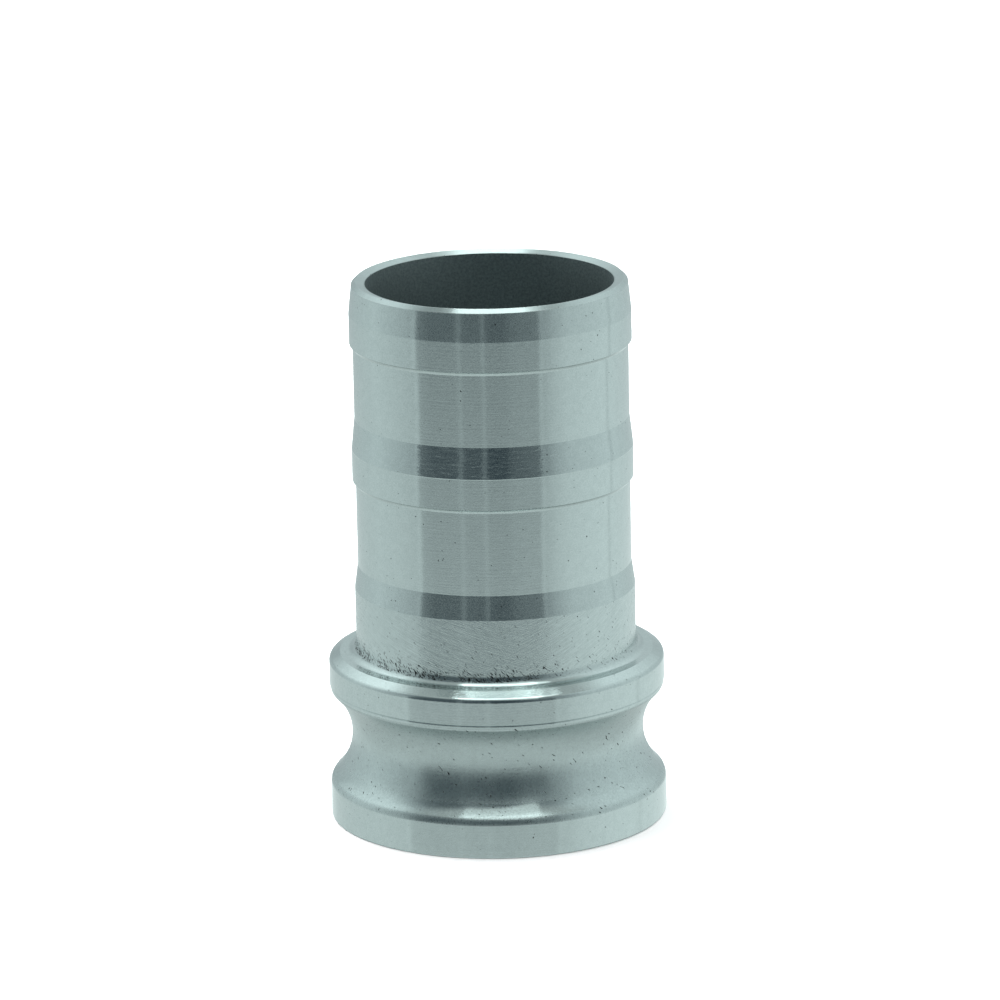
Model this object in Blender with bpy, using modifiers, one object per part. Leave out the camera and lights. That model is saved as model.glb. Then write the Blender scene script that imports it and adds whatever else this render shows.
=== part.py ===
"""A male cam-and-groove hose adapter: one aluminium casting, turned all over, in one piece.

It stands on its sealing face. The origin is the centre of that face, and +Z runs up the bore to the end
of the hose shank. Sizes are in metres, and every outline point is a (radius, height) pair.
"""

from math import acos, atan2, ceil, cos, pi, radians, sin, sqrt, tan

import bmesh
import bpy

COLLECTION_NAME = "cam_and_groove_hose_adapter"
NODE_NAME = "adapter_body"

# The head, which goes into the coupler. Its outer diameter sets every other diameter.
HEAD_DIAMETER = 0.0630
HEAD_EDGE_ROUND = 0.0003
BORE_EDGE_ROUND = 0.0005

# The cam groove: a round trough that the coupler's cams pull on. A narrow land runs above it.
GROOVE_HEIGHT = 0.01594
GROOVE_SECTION_RADIUS = 0.0113
GROOVE_DEPTH = 0.00417
GROOVE_WALL = 0.00428
LOWER_EDGE_ROUND = 0.0020
UPPER_EDGE_ROUND = 0.0008
LAND_STEP = 0.00015
LAND_LENGTH = 0.00055

# The collar above the groove. Its flat top face stops the end of the hose. A shallow cone lies outside it.
COLLAR_THICKNESS = 0.00693
COLLAR_UNDERSIZE = 0.0001
COLLAR_CONE_SLOPE = radians(30)
COLLAR_EDGE_ROUND = 0.00105
COLLAR_EDGE_DROP = 0.0018
COLLAR_ROOT_FILLET = 0.0018

# The hose shank, from the collar's top face to its end, which is dished inwards and chamfered outside.
SHANK_LENGTH = 0.07085
SHANK_WALL = 0.00251
END_CHAMFER = 0.0007
END_DISH = 0.00045

# The barbs: each has a slope that spreads the hose, a plain crest, and a step that holds the hose.
BARB_HEIGHT = 0.00063
STEP_ROOT_RADIUS = 0.0008
END_BARB_SLOPE = 0.0060
END_BARB_CREST = 0.0056
MIDDLE_BARB_SLOPE = 0.0058
MIDDLE_BARB_CREST = 0.0058
MIDDLE_BARB_OFFSET = 0.0005
ROOT_BARB_SLOPE = 0.0045
ROOT_LAND_LENGTH = 0.01245

# How finely the round shapes are drawn.
TURN_STEPS = 72
ARC_CHORD_ERROR = 0.00002
SHARP_EDGE_ANGLE = radians(30)

# Radii that follow from the sizes above.
HEAD_RADIUS = HEAD_DIAMETER / 2
COLLAR_RADIUS = HEAD_RADIUS - COLLAR_UNDERSIZE
GROOVE_FLOOR_RADIUS = HEAD_RADIUS - GROOVE_DEPTH
BORE_RADIUS = GROOVE_FLOOR_RADIUS - GROOVE_WALL
SHANK_RADIUS = BORE_RADIUS + SHANK_WALL
CREST_RADIUS = SHANK_RADIUS + BARB_HEIGHT

# Heights that follow from the sizes above.
GROOVE_CENTRE_RADIUS = GROOVE_FLOOR_RADIUS + GROOVE_SECTION_RADIUS
GROOVE_TOP = GROOVE_HEIGHT + sqrt(
    GROOVE_SECTION_RADIUS**2 - (GROOVE_CENTRE_RADIUS - COLLAR_RADIUS) ** 2
)
COLLAR_TOP = GROOVE_TOP + COLLAR_THICKNESS
SHANK_TOP = COLLAR_TOP + SHANK_LENGTH
END_CREST_TOP = SHANK_TOP - END_BARB_SLOPE
ROOT_CREST_TOP = COLLAR_TOP + ROOT_LAND_LENGTH
MIDDLE_CREST_TOP = (END_CREST_TOP + ROOT_CREST_TOP) / 2 + MIDDLE_BARB_OFFSET


def arc(centre, radius, start, end):
    """Points of a round stretch between two angles, both ends included."""
    step = 2 * acos(1 - ARC_CHORD_ERROR / radius)
    count = max(2, ceil(abs(end - start) / step))
    angles = [start + (end - start) * i / count for i in range(count + 1)]
    return [(centre[0] + radius * cos(a), centre[1] + radius * sin(a)) for a in angles]


def shank_end():
    """The dished end face from the bore to its ridge, and the chamfer at the end barb's slope."""
    slope_start = SHANK_RADIUS + BARB_HEIGHT * END_CHAMFER / END_BARB_SLOPE
    return [
        (BORE_RADIUS, SHANK_TOP - END_DISH),
        (slope_start - END_CHAMFER, SHANK_TOP),
        (slope_start, SHANK_TOP - END_CHAMFER),
    ]


def step_down(crest_bottom):
    """A barb's step: a sharp crest edge over the round root that the turning tool leaves."""
    reach = min(BARB_HEIGHT, STEP_ROOT_RADIUS)
    start = pi - acos((STEP_ROOT_RADIUS - reach) / STEP_ROOT_RADIUS)
    centre = (SHANK_RADIUS + STEP_ROOT_RADIUS, crest_bottom - STEP_ROOT_RADIUS * sin(start))
    return arc(centre, STEP_ROOT_RADIUS, start, pi)


def barb(crest_top, crest_length):
    """A barb's crest and its step. The slope above it is the line that joins it to the point before."""
    crest_bottom = crest_top - crest_length
    edge = [(CREST_RADIUS, crest_top)]
    if BARB_HEIGHT > STEP_ROOT_RADIUS:
        edge.append((CREST_RADIUS, crest_bottom))
    return edge + step_down(crest_bottom)


def shank():
    """The hose shank down to the collar's root, with its three barbs."""
    middle_slope_top = (SHANK_RADIUS, MIDDLE_CREST_TOP + MIDDLE_BARB_SLOPE)
    root_slope_top = (SHANK_RADIUS, ROOT_CREST_TOP + ROOT_BARB_SLOPE)
    return (
        shank_end()
        + barb(END_CREST_TOP, END_BARB_CREST)
        + [middle_slope_top]
        + barb(MIDDLE_CREST_TOP, MIDDLE_BARB_CREST)
        + [root_slope_top, (CREST_RADIUS, ROOT_CREST_TOP)]
    )


def collar():
    """The fillet at the shank's root, the flat face that stops the hose, the cone and the edge."""
    root = (CREST_RADIUS + COLLAR_ROOT_FILLET, COLLAR_TOP + COLLAR_ROOT_FILLET)
    edge = (COLLAR_RADIUS - COLLAR_EDGE_ROUND, COLLAR_TOP - COLLAR_EDGE_DROP)
    rounded = arc(edge, COLLAR_EDGE_ROUND, pi / 2 - COLLAR_CONE_SLOPE, 0)
    cone_radius, cone_height = rounded[0]
    cone_top = (cone_radius - (COLLAR_TOP - cone_height) / tan(COLLAR_CONE_SLOPE), COLLAR_TOP)
    return arc(root, COLLAR_ROOT_FILLET, pi, 3 * pi / 2) + [cone_top] + rounded


def groove_edge(outer_radius, edge_round):
    """Where a rounded edge that blends into the groove has its centre, and where they meet."""
    centre_radius = outer_radius - edge_round
    across = GROOVE_CENTRE_RADIUS - centre_radius
    along = sqrt((GROOVE_SECTION_RADIUS + edge_round) ** 2 - across**2)
    return centre_radius, along, atan2(along, across)


def cam_groove():
    """The land under the collar, the groove's trough, and the rounded edges on both sides of it."""
    land_radius = COLLAR_RADIUS - LAND_STEP
    upper_radius, above, upper_angle = groove_edge(land_radius, UPPER_EDGE_ROUND)
    lower_radius, below, lower_angle = groove_edge(HEAD_RADIUS, LOWER_EDGE_ROUND)
    land_top = GROOVE_HEIGHT + above + LAND_LENGTH
    trough = (GROOVE_CENTRE_RADIUS, GROOVE_HEIGHT)
    upper = (upper_radius, GROOVE_HEIGHT + above)
    lower = (lower_radius, GROOVE_HEIGHT - below)
    return (
        [(COLLAR_RADIUS, land_top + LAND_STEP), (land_radius, land_top)]
        + arc(upper, UPPER_EDGE_ROUND, 0, -upper_angle)
        + arc(trough, GROOVE_SECTION_RADIUS, pi - upper_angle, pi + lower_angle)[1:-1]
        + arc(lower, LOWER_EDGE_ROUND, lower_angle, 0)
    )


def sealing_face():
    """The rim's lower edge, the flat face that presses on the gasket, and the bore's lower mouth."""
    rim = (HEAD_RADIUS - HEAD_EDGE_ROUND, HEAD_EDGE_ROUND)
    mouth = (BORE_RADIUS + BORE_EDGE_ROUND, BORE_EDGE_ROUND)
    return arc(rim, HEAD_EDGE_ROUND, 0, -pi / 2) + arc(mouth, BORE_EDGE_ROUND, 3 * pi / 2, pi)


def turned_aluminium():
    """Bright machined aluminium with a faint cool tint."""
    material = bpy.data.materials.new("turned_aluminium")
    material.use_nodes = True
    shader = material.node_tree.nodes["Principled BSDF"]
    shader.inputs["Base Color"].default_value = (0.50, 0.56, 0.56, 1.0)
    shader.inputs["Metallic"].default_value = 1.0
    shader.inputs["Roughness"].default_value = 0.32
    return material


def outline_object(name, outline, collection):
    """A closed outline in the XZ plane, as a mesh of edges."""
    shape = bmesh.new()
    corners = [shape.verts.new((radius, 0, height)) for radius, height in outline]
    for corner, following in zip(corners, corners[1:] + corners[:1]):
        shape.edges.new((corner, following))
    mesh = bpy.data.meshes.new(name)
    shape.to_mesh(mesh)
    shape.free()
    turned = bpy.data.objects.new(name, mesh)
    collection.objects.link(turned)
    return turned


def turn(turned):
    """Turns the outline a full circle about Z."""
    screw = turned.modifiers.new("turn", "SCREW")
    screw.axis = "Z"
    screw.angle = 2 * pi
    screw.steps = TURN_STEPS
    screw.render_steps = TURN_STEPS
    screw.use_merge_vertices = True
    screw.merge_threshold = 0.00001
    graph = bpy.context.evaluated_depsgraph_get()
    solid = bpy.data.meshes.new_from_object(turned.evaluated_get(graph))
    turned.modifiers.clear()
    turned.data = solid
    solid.shade_smooth()
    solid.set_sharp_from_angle(angle=SHARP_EDGE_ANGLE)


def adapter_body(collection):
    """The whole adapter: shank, collar, cam groove and sealing face are turned on one casting."""
    outline = shank() + collar() + cam_groove() + sealing_face()
    body = outline_object(NODE_NAME, outline, collection)
    turn(body)
    body.data.materials.append(turned_aluminium())
    return body


for leftover in list(bpy.data.objects):
    bpy.data.objects.remove(leftover)

parts = bpy.data.collections.new(COLLECTION_NAME)
bpy.context.scene.collection.children.link(parts)
adapter_body(parts)
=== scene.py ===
from math import acos, atan2, cos, degrees, pi, radians, sin, sqrt, tan

import bpy
from mathutils import Matrix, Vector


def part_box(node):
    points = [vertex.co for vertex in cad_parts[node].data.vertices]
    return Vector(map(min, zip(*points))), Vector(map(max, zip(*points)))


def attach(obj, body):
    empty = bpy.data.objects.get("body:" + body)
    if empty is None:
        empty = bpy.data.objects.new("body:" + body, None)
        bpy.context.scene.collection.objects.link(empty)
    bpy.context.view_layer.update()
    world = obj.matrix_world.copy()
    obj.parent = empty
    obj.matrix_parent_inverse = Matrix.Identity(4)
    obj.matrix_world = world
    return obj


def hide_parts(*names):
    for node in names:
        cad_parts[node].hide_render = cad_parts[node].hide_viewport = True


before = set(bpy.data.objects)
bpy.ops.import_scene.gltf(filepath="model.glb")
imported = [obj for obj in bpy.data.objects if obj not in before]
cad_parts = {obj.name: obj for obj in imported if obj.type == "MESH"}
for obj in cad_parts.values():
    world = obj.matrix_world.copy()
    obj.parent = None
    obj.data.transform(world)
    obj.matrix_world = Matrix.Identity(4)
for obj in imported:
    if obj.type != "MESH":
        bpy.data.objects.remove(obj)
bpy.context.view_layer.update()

# ----------------------------------------------------------------------------------------------------
# The adapter body: one aluminium casting, turned all over on a lathe. Its outline is drawn as the tool
# cuts it, from the end of the hose shank down to the sealing face, and is then spun about the axis.
# ----------------------------------------------------------------------------------------------------
MM = 0.001
LOW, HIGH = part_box("adapter_body")
SEALING_FACE = LOW[2]
SHANK_TOP = HIGH[2]
HEAD_RADIUS = HIGH[0]
COLLAR_RADIUS = HEAD_RADIUS - 0.1 * MM
BORE_RADIUS = HEAD_RADIUS - 8.45 * MM
SHANK_RADIUS = BORE_RADIUS + 2.51 * MM
CREST_RADIUS = SHANK_RADIUS + 0.63 * MM

END_CREST_TOP = SHANK_TOP - 6.0 * MM
END_CREST_BOTTOM = END_CREST_TOP - 5.6 * MM
COLLAR_TOP = SHANK_TOP - 70.85 * MM
ROOT_CREST_TOP = COLLAR_TOP + 12.45 * MM
ROOT_SLOPE_TOP = ROOT_CREST_TOP + 4.5 * MM
MIDDLE_CREST_TOP = (END_CREST_TOP + ROOT_CREST_TOP) / 2 + 0.5 * MM
MIDDLE_CREST_BOTTOM = MIDDLE_CREST_TOP - 5.8 * MM
MIDDLE_SLOPE_TOP = MIDDLE_CREST_TOP + 5.8 * MM

END_DISH = 0.45 * MM
END_CHAMFER = 0.7 * MM
EDGE_BREAK = 0.12 * MM
MOUTH_ROUND = 0.5 * MM
STEP_ROOT_RADIUS = 0.8 * MM
COLLAR_ROOT_FILLET = 1.8 * MM
COLLAR_EDGE_ROUND = 1.05 * MM
COLLAR_EDGE_START = COLLAR_TOP - 1.8 * MM
COLLAR_CONE_TILT = 60
HEAD_EDGE_ROUND = 0.3 * MM

GROOVE_HEIGHT = SEALING_FACE + 15.94 * MM
GROOVE_RADIUS = 11.3 * MM
GROOVE_CENTRE_RADIUS = HEAD_RADIUS - 4.17 * MM + GROOVE_RADIUS
LOWER_EDGE_ROUND = 2.0 * MM
UPPER_EDGE_ROUND = 0.8 * MM
LAND_RADIUS = COLLAR_RADIUS - 0.15 * MM
LAND_LENGTH = 0.55 * MM
TOOL_MARK = 0.02 * MM

TURN_STEPS = 256
ARC_STEP = 3
SHARP_EDGE = 4.5
WELD_DISTANCE = 0.001 * MM


def deselect_everything():
    for thing in bpy.context.selected_objects:
        thing.select_set(False)


def outline_end():
    """Where the outline has got to, which is its one selected point."""
    drawn = bpy.context.edit_object
    drawn.update_from_editmode()
    return next(point.co for point in drawn.data.vertices if point.select)


def straight_to(radius, height):
    """Draws the outline on to a point."""
    here = outline_end()
    step = (radius - here.x, 0, height - here.z)
    bpy.ops.mesh.extrude_region_move(TRANSFORM_OT_translate={"value": step})


def round_about(radius, height, turn):
    """Draws the outline on along an arc about a centre. A positive turn is anticlockwise."""
    bpy.ops.mesh.spin(
        steps=max(2, round(abs(turn) / ARC_STEP)),
        angle=radians(turn),
        center=(radius, 0, height),
        axis=(0, 1, 0),
    )


def barb_step(crest_bottom):
    """Draws a barb's sharp edge and the round root that the tool's nose leaves under it."""
    depth = CREST_RADIUS - SHANK_RADIUS
    turn = acos((STEP_ROOT_RADIUS - depth) / STEP_ROOT_RADIUS)
    centre = crest_bottom - STEP_ROOT_RADIUS * sin(turn)
    straight_to(CREST_RADIUS, crest_bottom)
    round_about(SHANK_RADIUS + STEP_ROOT_RADIUS, centre, degrees(turn))


def groove_edge(outer_radius, edge_round):
    """A rounded edge that blends into the groove: its centre's radius and height, and its angle."""
    radius = outer_radius - edge_round
    across = GROOVE_CENTRE_RADIUS - radius
    along = sqrt((GROOVE_RADIUS + edge_round) ** 2 - across**2)
    return radius, along, degrees(atan2(along, across))


deselect_everything()
bore_top = SHANK_TOP - END_DISH - EDGE_BREAK
bpy.ops.mesh.primitive_plane_add(size=MM, location=(BORE_RADIUS, 0, bore_top))
adapter = bpy.context.object
adapter.name = "turned_adapter_body"
bpy.ops.object.transform_apply(location=True, rotation=True, scale=True)
bpy.ops.object.mode_set(mode="EDIT")
bpy.ops.mesh.select_all(action="SELECT")
bpy.ops.mesh.merge(type="CENTER")

# The shank's end: the broken edge of the bore, a narrow face dished inwards, and the chamfer outside it.
barb_spread = (CREST_RADIUS - SHANK_RADIUS) / (SHANK_TOP - END_CREST_TOP)
slope_start = SHANK_RADIUS + END_CHAMFER * barb_spread
straight_to(BORE_RADIUS + EDGE_BREAK, SHANK_TOP - END_DISH)
straight_to(slope_start - END_CHAMFER - EDGE_BREAK, SHANK_TOP)
straight_to(slope_start - END_CHAMFER, SHANK_TOP - EDGE_BREAK / 3)
straight_to(slope_start, SHANK_TOP - END_CHAMFER)

# The three barbs. The one nearest the collar has no step: its crest runs on down as the root land.
straight_to(CREST_RADIUS, END_CREST_TOP)
barb_step(END_CREST_BOTTOM)
straight_to(SHANK_RADIUS, MIDDLE_SLOPE_TOP)
straight_to(CREST_RADIUS, MIDDLE_CREST_TOP)
barb_step(MIDDLE_CREST_BOTTOM)
straight_to(SHANK_RADIUS, ROOT_SLOPE_TOP)
straight_to(CREST_RADIUS, ROOT_CREST_TOP)

# The collar: the fillet at the shank's root, the narrow flat hose stop, the shallow cone and the edge.
straight_to(CREST_RADIUS, COLLAR_TOP + COLLAR_ROOT_FILLET)
round_about(CREST_RADIUS + COLLAR_ROOT_FILLET, COLLAR_TOP + COLLAR_ROOT_FILLET, 90)
edge_radius = COLLAR_RADIUS - COLLAR_EDGE_ROUND
cone_foot_radius = edge_radius + COLLAR_EDGE_ROUND * cos(radians(COLLAR_CONE_TILT))
cone_foot = COLLAR_EDGE_START + COLLAR_EDGE_ROUND * sin(radians(COLLAR_CONE_TILT))
cone_run = (COLLAR_TOP - cone_foot) * tan(radians(COLLAR_CONE_TILT))
straight_to(cone_foot_radius - cone_run, COLLAR_TOP)
straight_to(cone_foot_radius, cone_foot)
round_about(edge_radius, COLLAR_EDGE_START, -COLLAR_CONE_TILT)

# The land under the collar, with the tool's fine mark above it, and the cam groove, cut by a round-nosed
# form tool, with its edges blended into the land and the rim.
edge_radius, above, upper_angle = groove_edge(LAND_RADIUS, UPPER_EDGE_ROUND)
land_top = GROOVE_HEIGHT + above + LAND_LENGTH
straight_to(COLLAR_RADIUS, land_top + COLLAR_RADIUS - LAND_RADIUS)
straight_to(LAND_RADIUS - TOOL_MARK, land_top)
straight_to(LAND_RADIUS, land_top - LAND_LENGTH / 3)
straight_to(LAND_RADIUS, GROOVE_HEIGHT + above)
round_about(edge_radius, GROOVE_HEIGHT + above, -upper_angle)
UPPER_GROOVE_EDGE = GROOVE_HEIGHT + above
edge_radius, below, lower_angle = groove_edge(HEAD_RADIUS, LOWER_EDGE_ROUND)
round_about(GROOVE_CENTRE_RADIUS, GROOVE_HEIGHT, upper_angle + lower_angle)
round_about(edge_radius, GROOVE_HEIGHT - below, -lower_angle)
LOWER_GROOVE_EDGE = GROOVE_HEIGHT - below

# The rim, the sealing face and the bore.
straight_to(HEAD_RADIUS, SEALING_FACE + HEAD_EDGE_ROUND)
round_about(HEAD_RADIUS - HEAD_EDGE_ROUND, SEALING_FACE + HEAD_EDGE_ROUND, -90)
straight_to(BORE_RADIUS + MOUTH_ROUND, SEALING_FACE)
round_about(BORE_RADIUS + MOUTH_ROUND, SEALING_FACE + MOUTH_ROUND, -90)
straight_to(BORE_RADIUS, bore_top)

# The lathe's turn.
bpy.ops.mesh.select_all(action="SELECT")
bpy.ops.mesh.remove_doubles(threshold=WELD_DISTANCE)
bpy.ops.mesh.select_all(action="SELECT")
bpy.ops.mesh.spin(steps=TURN_STEPS, angle=2 * pi, center=(0, 0, 0), axis=(0, 0, 1))
bpy.ops.mesh.select_all(action="SELECT")
bpy.ops.mesh.remove_doubles(threshold=WELD_DISTANCE)
bpy.ops.mesh.normals_make_consistent(inside=False)
bpy.ops.object.mode_set(mode="OBJECT")
bpy.ops.object.shade_smooth_by_angle(angle=radians(SHARP_EDGE))
even_shading = adapter.modifiers.new("even_shading", "WEIGHTED_NORMAL")
even_shading.keep_sharp = True
bpy.ops.object.modifier_apply(modifier=even_shading.name)

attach(adapter, "root")
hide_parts("adapter_body")


def linear(hex_colour):
    """An sRGB hex colour as linear red, green, blue and alpha."""
    channels = [int(hex_colour[i : i + 2], 16) / 255 for i in (1, 3, 5)]
    return [c / 12.92 if c <= 0.04045 else ((c + 0.055) / 1.055) ** 2.4 for c in channels] + [1.0]


def node(tree, kind, sockets=(), gives=0, stops=(), **settings):
    """Adds a node with its settings, colour stops and links, and returns the output that it gives."""
    # A MapRange goes from socket 3 to socket 4 as its value, socket 0, goes from socket 1 to socket 2. A
    # Mix goes from socket 6 to socket 7, or from 2 to 3 where it mixes numbers.
    added = tree.nodes.new("ShaderNode" + kind)
    for name, value in settings.items():
        setattr(added, name, value)
    for name, value in dict(sockets).items():
        if isinstance(value, bpy.types.NodeSocket):
            tree.links.new(value, added.inputs[name])
        else:
            added.inputs[name].default_value = value
    for index, (place, *colour) in enumerate(stops):
        points = added.color_ramp.elements
        point = points[index] if index < 2 else points.new(place)
        point.position = place
        point.color = (*colour, 1)
    return added.outputs[gives] if added.outputs else None


def new_material(name):
    """A material with nothing in it, and its node tree."""
    material = bpy.data.materials.new(name)
    material.use_nodes = True
    material.node_tree.nodes.clear()
    return material, material.node_tree


# The lines lie further apart across a flat face than up a wall, and the tool goes down as it goes out.
FACE_FEED = -0.6


def on_the_lathe(tree):
    """A point's place, the way outwards from the axis, the height, and the way along the outline."""
    place = node(tree, "TexCoord", gives="Object")
    level = node(tree, "VectorMath", {0: place, 1: (1, 1, 0)}, operation="MULTIPLY")
    outwards = node(tree, "VectorMath", {0: level}, operation="NORMALIZE")
    radius = node(tree, "VectorMath", {0: level}, gives="Value", operation="LENGTH")
    height = node(tree, "SeparateXYZ", {0: place}, gives="Z")
    along = node(tree, "Math", {0: radius, 1: FACE_FEED, 2: height}, operation="MULTIPLY_ADD")
    return place, outwards, height, along


def turning_lines(tree, outwards, along, spacing, breaks=2):
    """The lathe's lines, which run round the piece. With more breaks they come and go more often."""
    up = node(tree, "Math", {0: along, 1: 1 / spacing}, operation="MULTIPLY")
    step = node(tree, "CombineXYZ", {"Z": up})
    spot = node(tree, "VectorMath", {0: outwards, 1: [breaks] * 3, 2: step}, operation="MULTIPLY_ADD")
    return node(tree, "TexNoise", {"Vector": spot, "Scale": 1, "Detail": 3, "Roughness": 0.6})


def slanting_marks(tree, place, height, slant, across, length, detail):
    """Marks that climb round the piece. A positive slant, in radians a metre, falls to the right."""
    turn = node(tree, "Math", {0: height, 1: slant}, operation="MULTIPLY")
    turned = node(tree, "VectorRotate", {"Vector": place, "Angle": turn}, rotation_type="Z_AXIS")
    size = (1 / across, 1 / across, 1 / length)
    spot = node(tree, "VectorMath", {0: turned, 1: size}, operation="MULTIPLY")
    return node(tree, "TexNoise", {"Vector": spot, "Scale": 1, "Detail": detail, "Roughness": 0.6})


def between_heights(tree, height, bottom, top, soft=0.05 * MM):
    """One between two heights and nought outside them, over a soft edge."""
    over = node(tree, "MapRange", {0: height, 1: bottom - soft, 2: bottom + soft})
    under = node(tree, "MapRange", {0: height, 1: top + soft, 2: top - soft})
    return node(tree, "Math", {0: over, 1: under}, operation="MULTIPLY")


def pored_metal(tree, place, grain, pore, bright, dull):
    """The metal's colour: fine grain over soft clouds, with painted shade in the open pores, where a
    near-black colour stands in for the shade inside each pit.
    """
    cloud = node(tree, "TexNoise", {"Vector": place, "Scale": 1 / CLOUD_SIZE, "Detail": 2})
    mixed = node(tree, "Math", {0: cloud, 1: CLOUD_SHARE, 2: grain}, operation="MULTIPLY_ADD")
    shade = node(tree, "MapRange", {0: mixed, 1: 0.5, 2: 0.9})
    shades = {0: shade, 6: linear(dull), 7: linear(bright)}
    metal = node(tree, "Mix", shades, gives=2, data_type="RGBA")
    # Painted shade: the open pores get a near-black colour in place of the shade that falls inside them.
    return node(tree, "Mix", {0: pore, 6: metal, 7: linear(PAINTED_PORE_SHADE)}, gives=2, data_type="RGBA")


# A quarter turn of the anisotropy makes it blur up and down the piece, and not round it.
QUARTER_TURN = 0.25


def machined_metal(tree, colour, roughness, anisotropic, relief):
    """The shader of metal whose grain runs round the axis, and the material's output."""
    shader = node(
        tree,
        "BsdfPrincipled",
        {
            "Base Color": colour,
            "Metallic": 1.0,
            "Roughness": roughness,
            "Anisotropic": anisotropic,
            "Anisotropic Rotation": QUARTER_TURN,
            "Tangent": node(tree, "Tangent", direction_type="RADIAL", axis="Z"),
            "Normal": relief,
        },
    )
    node(tree, "OutputMaterial", {"Surface": shader})


# Turned aluminium: a bright satin metal. The tool's fine lines run round it, so it blurs reflections up
# and down far more than sideways. The two lower barbs' slopes were cut with chatter, which breaks up what
# they mirror. The top and bottom slopes and the shank's end are duller, and a few casting pores are open.
# The real lines are about 0.1 mm apart and the grain is finer still, so both are drawn coarser to show.
BRIGHT_METAL = "#C8D1D0"
DULL_METAL = "#BBC4C3"
# The pores are real pits. Their near-black colour is painted shade, the dark that falls inside a pit.
PAINTED_PORE_SHADE = "#15191A"
LINE_SPACING = 0.36 * MM
LINE_DEPTH = 0.004 * MM
GRAIN_SIZE = 0.28 * MM
GRAIN_DEPTH = 0.005 * MM
CLOUD_SIZE = 1.3 * MM
CLOUD_SHARE = 0.4
SPECK_SPACING = 0.42 * MM
CHATTER_SPACING = 0.6 * MM
CHATTER_BREAKS = 9
CHATTER_DEPTH = 0.04 * MM
ROOT_CHATTER = 0.25
SMOOTHEST, ROUGHEST = 0.09, 0.15
DULLER_SLOPE = 0.06
DULLER_END = 0.12
END_DEPTH = 0.8 * MM
END_FADE = 0.1 * MM

turned, tree = new_material("turned_aluminium")
place, outwards, height, along = on_the_lathe(tree)
lines = turning_lines(tree, outwards, along, LINE_SPACING)
chatter = turning_lines(tree, outwards, along, CHATTER_SPACING, CHATTER_BREAKS)
fine = {"Vector": place, "Scale": 1 / GRAIN_SIZE, "Detail": 2, "Roughness": 0.6}
grain = node(tree, "TexNoise", fine)
speck = node(tree, "TexNoise", {"Vector": place, "Scale": 1 / SPECK_SPACING, "Detail": 0})
pore = node(tree, "MapRange", {0: speck, 1: 0.84, 2: 0.86})

end_slope = between_heights(tree, height, END_CREST_TOP, SHANK_TOP + MM)
middle_slope = between_heights(tree, height, MIDDLE_CREST_TOP, MIDDLE_SLOPE_TOP)
root_slope = between_heights(tree, height, ROOT_CREST_TOP, ROOT_SLOPE_TOP)
shank_end = between_heights(tree, height, SHANK_TOP - END_DEPTH, SHANK_TOP + MM, END_FADE)
plain = node(tree, "MapRange", {0: grain, 1: 0.2, 2: 0.8, 3: SMOOTHEST, 4: ROUGHEST})
slopes = node(tree, "Math", {0: end_slope, 1: root_slope}, operation="ADD")
duller = node(tree, "Math", {0: slopes, 1: DULLER_SLOPE, 2: plain}, operation="MULTIPLY_ADD")
roughness = node(tree, "Math", {0: shank_end, 1: DULLER_END, 2: duller}, operation="MULTIPLY_ADD")

shaken = node(
    tree, "Math", {0: root_slope, 1: ROOT_CHATTER, 2: middle_slope}, operation="MULTIPLY_ADD"
)
ridges = node(tree, "Math", {0: chatter, 1: shaken}, operation="MULTIPLY")
lined = node(tree, "Bump", {"Distance": LINE_DEPTH, "Height": lines})
grained = node(tree, "Bump", {"Distance": GRAIN_DEPTH, "Height": grain, "Normal": lined})
relief = node(tree, "Bump", {"Distance": CHATTER_DEPTH, "Height": ridges, "Normal": grained})
colour = pored_metal(tree, place, grain, pore, BRIGHT_METAL, DULL_METAL)
machined_metal(tree, colour, roughness, anisotropic=1.0, relief=relief)

# As-cast aluminium inside the bore: the sand core leaves it dull, dark and grainy. Its grains are drawn
# at about the size of coarse core sand.
CAST_BRIGHT = "#A9B2B2"
CAST_DARK = "#8C9698"
CORE_GRAIN = 0.45 * MM
CORE_RELIEF = 0.03 * MM

cast, tree = new_material("as_cast_aluminium")
place = node(tree, "TexCoord", gives="Object")
grains = {"Vector": place, "Scale": 1 / CORE_GRAIN, "Detail": 4, "Roughness": 0.65}
sand = node(tree, "TexNoise", grains)
shade = node(tree, "MapRange", {0: sand, 1: 0.35, 2: 0.65})
shades = {0: shade, 6: linear(CAST_DARK), 7: linear(CAST_BRIGHT)}
sandy = node(tree, "Mix", shades, gives=2, data_type="RGBA")
matt = node(tree, "MapRange", {0: sand, 1: 0.3, 2: 0.7, 3: 0.62, 4: 0.48})
relief = node(tree, "Bump", {"Distance": CORE_RELIEF, "Height": sand})
sockets = {"Base Color": sandy, "Metallic": 1.0, "Roughness": matt, "Normal": relief}
node(tree, "OutputMaterial", {"Surface": node(tree, "BsdfPrincipled", sockets)})

# Form-cut aluminium: a wide round tool scrapes the whole groove at once. It leaves a duller, mottled
# face that is bright only low down, where the tool rubs, and a few pores are open. The scrape lines are
# drawn coarser than real ones.
GROOVE_BRIGHT = "#C5CFCE"
GROOVE_DULL = "#B6BFBE"
SCRAPE_SPACING = 0.5 * MM
SCRAPE_GRAIN = 0.4 * MM
SCRAPE_DEPTH = 0.010 * MM
PATCH_SIZE = 9 * MM
RUBBED_BOTTOM = GROOVE_HEIGHT - 8.27 * MM
RUBBED_TOP = GROOVE_HEIGHT - 6.2 * MM
RUBBED_FADE = 0.3 * MM
RUBBED_ROUGHNESS = 0.45
PORE_SLANT = 30
PORE_WIDTH = 0.5 * MM
PORE_LENGTH = 0.6 * MM
PORE_DEPTH = 0.12 * MM

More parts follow.
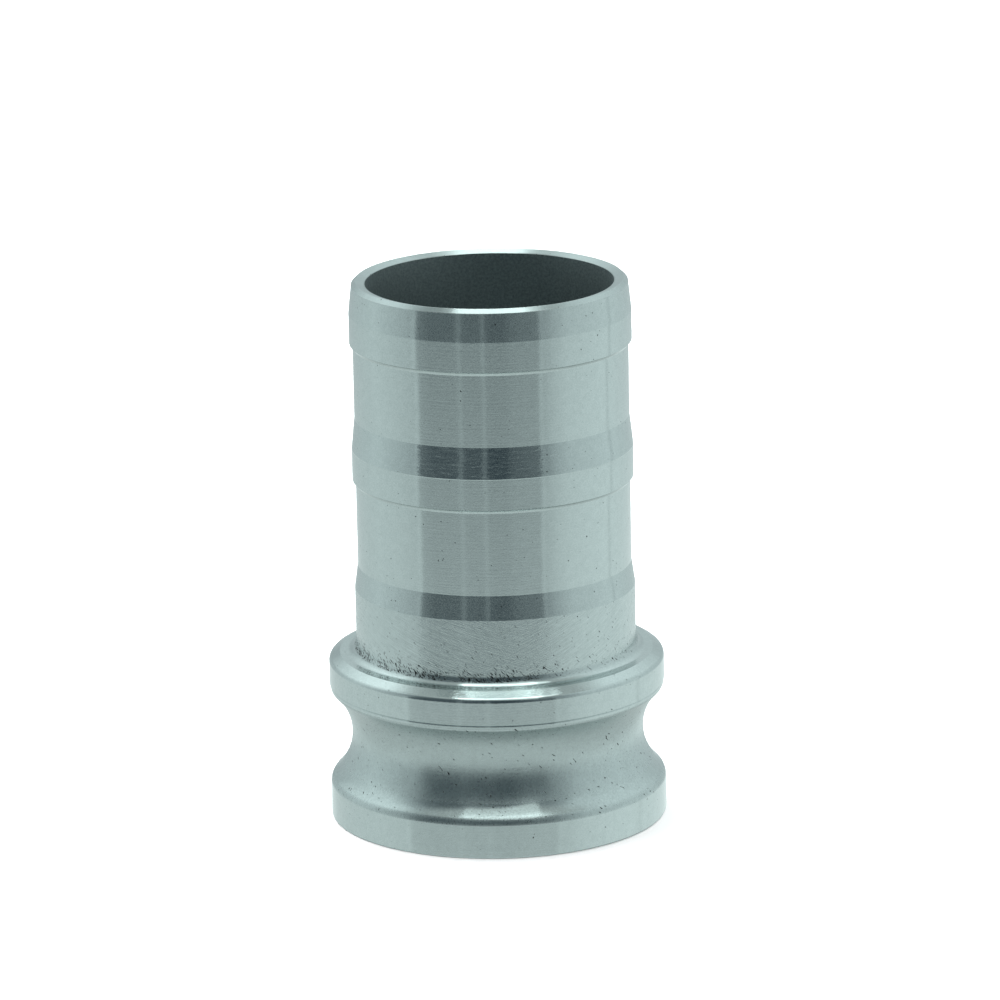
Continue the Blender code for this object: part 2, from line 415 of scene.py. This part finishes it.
form_cut, tree = new_material("form_cut_aluminium")
place, outwards, height, along = on_the_lathe(tree)
lines = turning_lines(tree, outwards, along, SCRAPE_SPACING)
fine = {"Vector": place, "Scale": 1 / SCRAPE_GRAIN, "Detail": 3, "Roughness": 0.6}
grain = node(tree, "TexNoise", fine)
wide = {"Vector": place, "Scale": 1 / PATCH_SIZE, "Detail": 1, "Roughness": 0.6}
patch = node(tree, "TexNoise", wide)
fleck = slanting_marks(tree, place, height, PORE_SLANT, PORE_WIDTH, PORE_LENGTH, detail=0)
pore = node(tree, "MapRange", {0: fleck, 1: 0.80, 2: 0.83})
rubbed = between_heights(tree, height, RUBBED_BOTTOM, RUBBED_TOP, RUBBED_FADE)
dulled = node(tree, "MapRange", {0: rubbed, 3: 1.0, 4: RUBBED_ROUGHNESS})
scraped = node(tree, "MapRange", {0: grain, 1: 0.2, 2: 0.8, 3: 0.25, 4: 0.33})
roughness = node(tree, "Math", {0: scraped, 1: dulled}, operation="MULTIPLY")
mottled = node(tree, "Math", {0: lines, 1: grain}, operation="ADD")
rougher = node(tree, "MapRange", {0: patch, 1: 0.48, 2: 0.62, 3: 0.6, 4: 2.4})
strength = node(tree, "Math", {0: rougher, 1: dulled}, operation="MULTIPLY")
scraping = node(tree, "Math", {0: mottled, 1: strength}, operation="MULTIPLY")
scrape = node(tree, "Bump", {"Distance": SCRAPE_DEPTH, "Height": scraping})
relief = node(tree, "Bump", {"Distance": PORE_DEPTH, "Height": pore, "Normal": scrape}, invert=True)
# The groove's open pores get the same painted shade as the turned metal's.
colour = pored_metal(tree, place, grain, pore, GROOVE_BRIGHT, GROOVE_DULL)
machined_metal(tree, colour, roughness, anisotropic=0.7, relief=relief)

# Emery-rubbed aluminium: the land by the collar, dressed by hand with emery cloth. Its marks fall to the
# right on one side of the piece and rise on the other. Casting pores are open just above the collar, most
# of them on the side where the metal was fed into the mould. The marks are drawn coarser than real ones.
EMERY_SLANT = 125
RISING_SLANT = -0.7 * EMERY_SLANT
EMERY_WIDTH = 0.28 * MM
EMERY_LENGTH = 1.5 * MM
EMERY_DEPTH = 0.024 * MM
EMERY_GRAIN_DEPTH = 0.008 * MM
PORE_TOP = COLLAR_TOP + 4.8 * MM
PORE_BOTTOM = COLLAR_TOP + 1.0 * MM
LAND_PORE_WIDTH = 0.20 * MM
LAND_PORE_LENGTH = 0.55 * MM
CROWD_SIZE = 2.5 * MM
PORE_ROUGHNESS = 0.8

emeried, tree = new_material("emery_rubbed_aluminium")
place, outwards, height, along = on_the_lathe(tree)
fine = {"Vector": place, "Scale": 1 / GRAIN_SIZE, "Detail": 2, "Roughness": 0.6}
grain = node(tree, "TexNoise", fine)
falling = slanting_marks(tree, place, height, EMERY_SLANT, EMERY_WIDTH, EMERY_LENGTH, detail=2)
rising = slanting_marks(tree, place, height, RISING_SLANT, EMERY_WIDTH, EMERY_LENGTH, detail=2)
side = node(tree, "SeparateXYZ", {0: outwards}, gives="X")
swap = node(tree, "MapRange", {0: side, 1: -0.1, 2: 0.5})
emery = node(tree, "Mix", {0: swap, 2: falling, 3: rising}, data_type="FLOAT")

fleck = slanting_marks(
    tree, place, height, PORE_SLANT, LAND_PORE_WIDTH, LAND_PORE_LENGTH, detail=0
)
wide = {"Vector": place, "Scale": 1 / CROWD_SIZE, "Detail": 1, "Roughness": 0.6}
patch = node(tree, "TexNoise", wide)
crowd = node(tree, "MapRange", {0: patch, 1: 0.35, 2: 0.60, 3: 0.10, 4: 0.28})
low_down = node(tree, "MapRange", {0: height, 1: PORE_TOP, 2: PORE_BOTTOM})
fed_side = node(tree, "MapRange", {0: side, 1: 0.45, 2: 0.15, 3: 0.35, 4: 1.0})
share = node(tree, "Math", {0: low_down, 1: fed_side}, operation="MULTIPLY")
reached = node(tree, "Math", {0: crowd, 1: share, 2: fleck}, operation="MULTIPLY_ADD")
pore = node(tree, "MapRange", {0: reached, 1: 0.80, 2: 0.83})

scoured = node(tree, "MapRange", {0: emery, 1: 0.3, 2: 0.7, 3: 0.16, 4: 0.22})
roughness = node(tree, "Mix", {0: pore, 2: scoured, 3: PORE_ROUGHNESS}, data_type="FLOAT")
grained = node(tree, "Bump", {"Distance": EMERY_GRAIN_DEPTH, "Height": grain})
scratched = node(tree, "Bump", {"Distance": EMERY_DEPTH, "Height": emery, "Normal": grained})
relief = node(tree, "Bump", {"Distance": PORE_DEPTH, "Height": pore, "Normal": scratched}, invert=True)
# The land's open pores get the same painted shade as the turned metal's.
colour = pored_metal(tree, place, emery, pore, BRIGHT_METAL, DULL_METAL)
machined_metal(tree, colour, roughness, anisotropic=0.4, relief=relief)

# Where each finish lies. The emery cloth reaches down to the middle of the fillet.
LAND_BOTTOM = COLLAR_TOP + 0.43 * COLLAR_ROOT_FILLET
BORE_MARGIN = 0.01 * MM
finishes = [turned, cast, form_cut, emeried]
for finish in finishes:
    adapter.data.materials.append(finish)
for face in adapter.data.polygons:
    from_axis = sqrt(face.center.x**2 + face.center.y**2)
    if from_axis < BORE_RADIUS + BORE_MARGIN:
        face.material_index = finishes.index(cast)
    elif LOWER_GROOVE_EDGE < face.center.z < UPPER_GROOVE_EDGE:
        face.material_index = finishes.index(form_cut)
    elif LAND_BOTTOM < face.center.z < ROOT_CREST_TOP:
        face.material_index = finishes.index(emeried)

# ----------------------------------------------------------------------------------------------------
# The floor: a wide sheet of white paper, unrolled flat under the adapter. It is left out of the metal's
# reflections, which are all of the tent.
# ----------------------------------------------------------------------------------------------------
FLOOR_SIZE = 12
FLOOR_GAP = 0.05 * MM
deselect_everything()
bpy.ops.mesh.primitive_plane_add(size=FLOOR_SIZE, location=(0, 0, SEALING_FACE - FLOOR_GAP))
floor = bpy.context.object
floor.name = "paper_floor"
floor.visible_glossy = False

# White paper: pressed from bleached pulp and left uncoated, so it is matt and a touch warm.
paper, tree = new_material("white_paper")
node(tree, "OutputMaterial", {"Surface": node(tree, "BsdfDiffuse", {"Color": linear("#FDF8F8")})})
floor.data.materials.append(paper)

# ----------------------------------------------------------------------------------------------------
# The light: a tent of white cloth with an open front, which is what the metal mirrors, a softbox hung
# over the adapter, and a lamp that lights the paper only.
# ----------------------------------------------------------------------------------------------------
# Brightness of the tent by compass angle, in degrees from the front, positive to the right. The front is
# open and dark. Each list holds for one height: the table under the piece, the table around it, the walls
# level with the piece, the walls above it, and the ceiling. The narrow peaks are gaps between the panels.
NEAR_TABLE = [
    (-180, 0.60), (-120, 0.63), (-90, 0.68), (-40, 0.75), (40, 0.75), (90, 0.63), (180, 0.54),
]
TABLE = [
    (-180, 0.96), (-150, 0.84), (-110, 0.85), (-90, 0.90), (-67.5, 0.89), (-65, 0.93), (-61, 0.84),
    (-45, 0.83), (0, 0.82), (30, 0.84), (39.5, 0.84), (41.5, 0.94), (44, 0.88), (60, 0.96),
    (90, 1.03), (111, 1.03), (113, 0.80), (115, 1.02), (180, 1.00),
]
WALLS = [
    (-180, 0.60), (-165, 0.53), (-145, 0.66), (-110, 0.80), (-84, 0.63), (-67, 0.50), (-65, 0.64),
    (-61.5, 0.19), (-50, 0.11), (-30, 0.11), (-27, 0.17), (-26.2, 0.28), (-24.6, 0.28), (-23.8, 0.11),
    (-7.8, 0.10), (-7.2, 0.24), (-5.4, 0.24), (-4.8, 0.08), (10, 0.07), (17, 0.13), (36, 0.18),
    (39, 0.18), (41.5, 0.52), (43, 0.36), (54, 0.55), (66, 0.70), (111, 0.86), (113, 0.58),
    (115, 0.84), (165, 0.62), (180, 0.60),
]
UPPER_WALLS = [
    (-180, 1.25), (-140, 1.40), (-120, 1.20), (-105, 1.10), (-95, 0.95), (-83, 0.58), (-68, 0.27),
    (-54, 0.16), (-40, 0.13), (-28, 0.17), (-18, 0.17), (-12, 0.11), (0, 0.09), (15, 0.12),
    (33, 0.26), (46, 0.32), (58, 0.50), (70, 0.78), (90, 0.88), (140, 1.05), (180, 1.25),
]
CEILING = [(-180, 0.58), (180, 0.58)]
# How much of each list shows over the one before it, by elevation in degrees.
ALL_OF_IT = [(-90, 1.0), (90, 1.0)]
TABLE_SPREAD = [(-60, 0.0), (-30, 0.3), (-19, 1.0)]
HORIZON = [
    (-17.6, 0.0), (-16.9, 0.05), (-16.4, 0.15), (-15.6, 0.32), (-14.2, 0.71), (-13.2, 0.89), (-5, 1.0),
]
UPPER_START = [(11, 0.0), (42, 1.0)]
CEILING_START = [(50, 0.0), (60, 1.0)]
TENT_COLOUR = linear("#F1FFFE")
BLUE_OF_THE_DARK = 0.014

world = bpy.data.worlds.new("light_tent")
bpy.context.scene.world = world
world.use_nodes = True
tent = world.node_tree
tent.nodes.clear()
direction = node(tent, "TexCoord", gives="Generated")
right, back, up = (node(tent, "SeparateXYZ", {0: direction}, gives=axis) for axis in "XYZ")
forwards = node(tent, "Math", {0: back, 1: -1.0}, operation="MULTIPLY")
compass = node(tent, "Math", {0: right, 1: forwards}, operation="ARCTAN2")
around = node(tent, "Math", {0: compass, 1: 1 / (2 * pi), 2: 0.5}, operation="MULTIPLY_ADD")
rise = node(tent, "Math", {0: up}, operation="ARCSINE")
elevation = node(tent, "Math", {0: rise, 1: 1 / pi, 2: 0.5}, operation="MULTIPLY_ADD")

tent_red, tent_green, tent_blue = TENT_COLOUR[:3]
shown = TENT_COLOUR
for brightness, blue, shares in (
    (NEAR_TABLE, 0.0, ALL_OF_IT),
    (TABLE, 0.0, TABLE_SPREAD),
    (WALLS, BLUE_OF_THE_DARK, HORIZON),
    (UPPER_WALLS, BLUE_OF_THE_DARK, UPPER_START),
    (CEILING, 0.0, CEILING_START),
):
    shades = [
        (angle / 360 + 0.5, glow * tent_red - blue, glow * tent_green, glow * tent_blue + blue)
        for angle, glow in brightness
    ]
    band = node(tent, "ValToRGB", {"Fac": around}, stops=shades)
    parts = [(angle / 180 + 0.5, part, part, part) for angle, part in shares]
    over = node(tent, "ValToRGB", {"Fac": elevation}, stops=parts)
    shown = node(tent, "Mix", {0: over, 6: shown, 7: band}, gives=2, data_type="RGBA")
reflected = node(tent, "Background", {"Color": shown, "Strength": 1.0})
white = node(tent, "Background", {"Color": (1, 1, 1, 1), "Strength": 1.0})
seen = node(tent, "LightPath", gives="Is Camera Ray")
node(tent, "OutputWorld", {"Surface": node(tent, "MixShader", {0: seen, 1: reflected, 2: white})})

# The softbox hangs over the piece, wide and dim at the front, bright overhead and narrow at the back. Its
# corners are in shares of its height, and so are the places along it where its glow is given. To the right
# of a fold, its cloth is dimmer.
SOFTBOX_HEIGHT = 1.2
SOFTBOX_CORNERS = [
    (-0.39, -0.64), (0.00, -0.66), (0.56, -0.97), (0.48, -0.60), (0.43, -0.38), (0.41, -0.12),
    (0.28, 0.37), (0.20, 0.75), (0.17, 1.30), (-0.12, 1.30), (-0.125, 0.75), (-0.19, 0.32),
    (-0.29, -0.17), (-0.36, -0.50),
]
SOFTBOX_GLOW = [
    (-0.95, 0.9), (-0.42, 0.95), (-0.28, 1.45), (-0.18, 2.4), (0.0, 3.7), (0.5, 3.9), (0.8, 2.2),
    (1.2, 0.85),
]
GLOW_START, GLOW_END = -1.0, 1.5
BRIGHTEST = 4.0
FOLD_SLOPE = 0.285
FOLD_START, FOLD_END = 0.275, 0.285
FOLD_SHADE = 0.45
softbox_mesh = bpy.data.meshes.new("softbox")
softbox_mesh.from_pydata(
    [(x * SOFTBOX_HEIGHT, y * SOFTBOX_HEIGHT, SOFTBOX_HEIGHT) for x, y in SOFTBOX_CORNERS],
    [],
    [tuple(reversed(range(len(SOFTBOX_CORNERS))))],
)
softbox = bpy.data.objects.new("softbox", softbox_mesh)
bpy.context.scene.collection.objects.link(softbox)
softbox.visible_camera = False
cloth, tree = new_material("softbox_cloth")
spot = node(tree, "TexCoord", gives="Object")
across, back = (node(tree, "SeparateXYZ", {0: spot}, gives=axis) for axis in "XY")
start, end = GLOW_START * SOFTBOX_HEIGHT, GLOW_END * SOFTBOX_HEIGHT
along_box = node(tree, "MapRange", {0: back, 1: start, 2: end})
shades = [
    ((y - GLOW_START) / (GLOW_END - GLOW_START), *[part / BRIGHTEST] * 3) for y, part in SOFTBOX_GLOW
]
glow = node(tree, "ValToRGB", {"Fac": along_box}, stops=shades)
from_fold = node(tree, "Math", {0: back, 1: FOLD_SLOPE, 2: across}, operation="MULTIPLY_ADD")
start, end = FOLD_START * SOFTBOX_HEIGHT, FOLD_END * SOFTBOX_HEIGHT
dimming = {0: from_fold, 1: start, 2: end, 3: BRIGHTEST, 4: FOLD_SHADE * BRIGHTEST}
fold = node(tree, "MapRange", dimming)
strength = node(tree, "Math", {0: glow, 1: fold}, operation="MULTIPLY")
shine = node(tree, "Emission", {"Color": TENT_COLOUR, "Strength": strength})
node(tree, "OutputMaterial", {"Surface": shine})
softbox.data.materials.append(cloth)

# A second, overhead light whitens the paper. The metal doesn't show it.
paper_light_data = bpy.data.lights.new("paper_light", "AREA")
paper_light_data.shape = "DISK"
paper_light_data.size = 2.5
paper_light_data.energy = 150.0
paper_light = bpy.data.objects.new("paper_light", paper_light_data)
paper_light.location = (0, 0, 2.0)
paper_light.visible_camera = False
paper_light.visible_glossy = False
bpy.context.scene.collection.objects.link(paper_light)

# ----------------------------------------------------------------------------------------------------
# The camera: a long lens on a stand 1.2 m away, looking down on the adapter by 15 degrees. Its angles are
# in radians.
# ----------------------------------------------------------------------------------------------------
CAMERA_PLACE = (0, -1.16016, 0.37122)
CAMERA_DOWN = 0.26215
CAMERA_TURN = -0.00104
CAMERA_ROLL = -0.01914
camera_data = bpy.data.cameras.new("camera")
camera_data.lens = 232.06
camera_data.sensor_width = 36
camera = bpy.data.objects.new("camera", camera_data)
aimed = Matrix.Rotation(CAMERA_TURN, 4, "Z") @ Matrix.Rotation(pi / 2 - CAMERA_DOWN, 4, "X")
rolled = aimed @ Matrix.Rotation(CAMERA_ROLL, 4, "Z")
camera.matrix_world = Matrix.Translation(CAMERA_PLACE) @ rolled
bpy.context.scene.collection.objects.link(camera)
bpy.context.scene.camera = camera
bpy.context.scene.view_settings.view_transform = "Standard"
